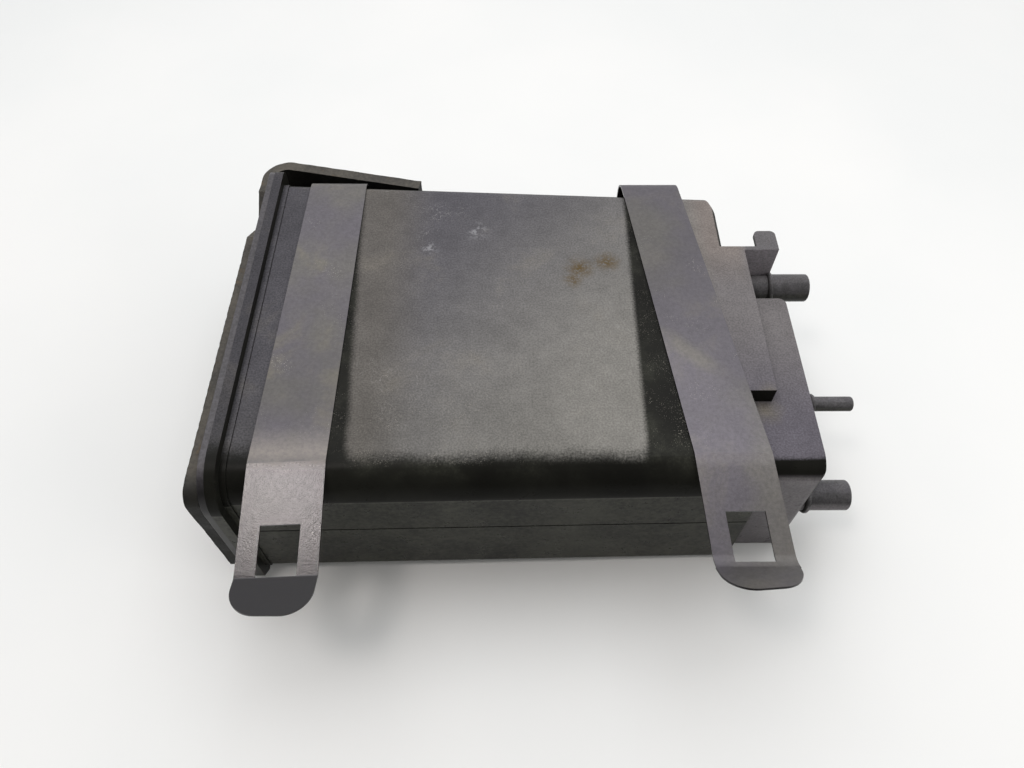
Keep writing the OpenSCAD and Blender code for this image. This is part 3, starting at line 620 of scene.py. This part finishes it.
def dressed(skin, material):
    """Copy of a CAD node with softened edges, which stands for the node."""
    node = skin.node
    mesh = skin_mesh(skin)
    piece = bpy.data.objects.new(node + "_skin", mesh)
    bpy.context.scene.collection.objects.link(piece)
    mesh.materials.append(material)
    mesh.shade_smooth()
    mesh.set_sharp_from_angle(angle=math.radians(skin.sharp))
    soften = piece.modifiers.new("edges", "BEVEL")
    soften.width = skin.bevel
    soften.segments = BEVEL_SEGMENTS
    soften.limit_method = "ANGLE"
    soften.angle_limit = BEVEL_ANGLE
    soften.miter_outer = "MITER_ARC"
    soften.harden_normals = True
    even = piece.modifiers.new("normals", "WEIGHTED_NORMAL")
    even.keep_sharp = True
    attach(piece, "root")
    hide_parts(node)
    return piece


def sink_unevenly(bm):
    """Splits the faces finely and sinks them by uneven depths, as worn rubber is."""
    bmesh.ops.triangulate(bm, faces=bm.faces)
    longest = max(edge.calc_length() for edge in bm.edges)
    while longest > RUBBER_STEP:
        limit = max(RUBBER_STEP, longest / 2)
        split = [edge for edge in bm.edges if edge.calc_length() > limit]
        bmesh.ops.subdivide_edges(bm, edges=split, cuts=1)
        bmesh.ops.triangulate(bm, faces=[face for face in bm.faces if len(face.verts) > 3])
        longest = max(edge.calc_length() for edge in bm.edges)
    bm.normal_update()
    sunk = []
    for vert in bm.verts:
        wave = noise.noise(vert.co / RUBBER_WAVE)
        dent = noise.noise(vert.co / RUBBER_DENT)
        waves = 0.6 * wave + 0.4 * dent
        sunk.append(vert.co - vert.normal * RUBBER_DEPTH * (0.5 + 0.5 * waves))
    for vert, place in zip(bm.verts, sunk):
        vert.co = place


def carried(node, material):
    """A hidden CAD node as it is, with its material."""
    mesh = frame["nodes"][node].data
    mesh.materials.clear()
    mesh.materials.append(material)


# Skins of the outer pieces; edges sharper than the angle, in degrees, stay sharp
SKINS = (
    Skin("housing", "housing_plastic", weld=0.02 * MM, bevel=0.35 * MM, sharp=32, work=None),
    Skin("end_cover", "cover_plastic", weld=0.02 * MM, bevel=0.5 * MM, sharp=32, work=None),
    Skin("buffer_mat", "mat_rubber", weld=0.05 * MM, bevel=0.4 * MM, sharp=40, work=sink_unevenly),
    Skin("left_strap", "strap_steel", weld=0.05 * MM, bevel=0.2 * MM, sharp=14, work=None),
    Skin("right_strap", "strap_steel", weld=0.05 * MM, bevel=0.2 * MM, sharp=14, work=None),
)


def make_canister():
    """Skins for the outer pieces, and materials for the hidden ones."""
    outside = {"housing_plastic": housing_plastic(), "cover_plastic": cover_plastic(),
               "mat_rubber": mat_rubber(), "strap_steel": strap_steel()}
    for skin in SKINS:
        dressed(skin, outside[skin.slot])
    inside = {slot: plain_grain(slot, *look) for slot, look in INSIDE.items()}
    for part in frame["record"]["subparts"]:
        if part["material_slot"] in inside:
            carried(part["node"], inside[part["material_slot"]])


def make_floor():
    """Floor tilted under the canister, so that the canister rests on it."""
    half = FLOOR_HALF
    corners = [(-half, -half, 0), (half, -half, 0), (half, half, 0), (-half, half, 0)]
    mesh = bpy.data.meshes.new("floor")
    mesh.from_pydata(corners, [], [(0, 1, 2, 3)])
    mesh.materials.append(floor_paint())
    floor = bpy.data.objects.new("floor", mesh)
    bpy.context.scene.collection.objects.link(floor)
    tilt = Matrix.Rotation(-FLOOR_TILT, 4, "Y")
    floor.matrix_world = Matrix.Translation((LIP_EDGE_X, 0, 0)) @ tilt


def make_room():
    """Dim room that is brighter behind."""
    world = bpy.data.worlds.new("studio")
    world.use_nodes = True
    nodes, links = world.node_tree.nodes, world.node_tree.links
    towards = nodes.new("ShaderNodeVectorMath")
    towards.operation = "DOT_PRODUCT"
    towards.inputs[1].default_value = BRIGHT_SIDE
    links.new(nodes.new("ShaderNodeTexCoord").outputs["Generated"], towards.inputs[0])
    fade = nodes.new("ShaderNodeMapRange")
    fade.interpolation_type = "SMOOTHSTEP"
    for socket, value in zip(fade.inputs[1:3], ROOM_FADE):
        socket.default_value = value
    links.new(towards.outputs["Value"], fade.inputs["Value"])
    shine = nodes.new("ShaderNodeMix")
    shine.data_type = "RGBA"
    links.new(fade.outputs[0], shine.inputs["Factor"])
    shine.inputs["A"].default_value = ROOM_DIM
    shine.inputs["B"].default_value = ROOM_BRIGHT
    links.new(shine.outputs["Result"], nodes["Background"].inputs["Color"])
    bpy.context.scene.world = world


def add_panel(panel):
    """One soft rectangular lamp that faces its aim."""
    light = bpy.data.lights.new(panel.name, "AREA")
    light.shape = "RECTANGLE"
    light.size, light.size_y = panel.size
    light.energy = panel.watts
    light.color = panel.colour
    lamp = bpy.data.objects.new(panel.name, light)
    bpy.context.scene.collection.objects.link(lamp)
    lamp.location = panel.at
    towards = Vector(panel.aim) - Vector(panel.at)
    lamp.rotation_euler = towards.to_track_quat("-Z", "Y").to_euler()


def make_camera():
    """Camera that stands where the photograph was taken."""
    lens = bpy.data.cameras.new("camera")
    lens.sensor_fit = "HORIZONTAL"
    lens.sensor_width = SENSOR_MM
    lens.lens = FOCAL_PX / IMAGE_W * SENSOR_MM
    lens.clip_start = CLIP_START
    camera = bpy.data.objects.new("camera", lens)
    bpy.context.scene.collection.objects.link(camera)
    camera.matrix_world = (Matrix.Translation(CAMERA_AT)
                           @ Matrix.Rotation(-YAW_RIGHT, 4, "Z")
                           @ Matrix.Rotation(math.pi / 2 - PITCH_DOWN, 4, "X")
                           @ Matrix.Rotation(ROLL_LEFT, 4, "Z"))
    bpy.context.scene.camera = camera


make_camera()
make_room()
for panel in PANELS:
    add_panel(panel)
make_floor()
make_canister()
bpy.context.scene.view_settings.view_transform = "Standard"
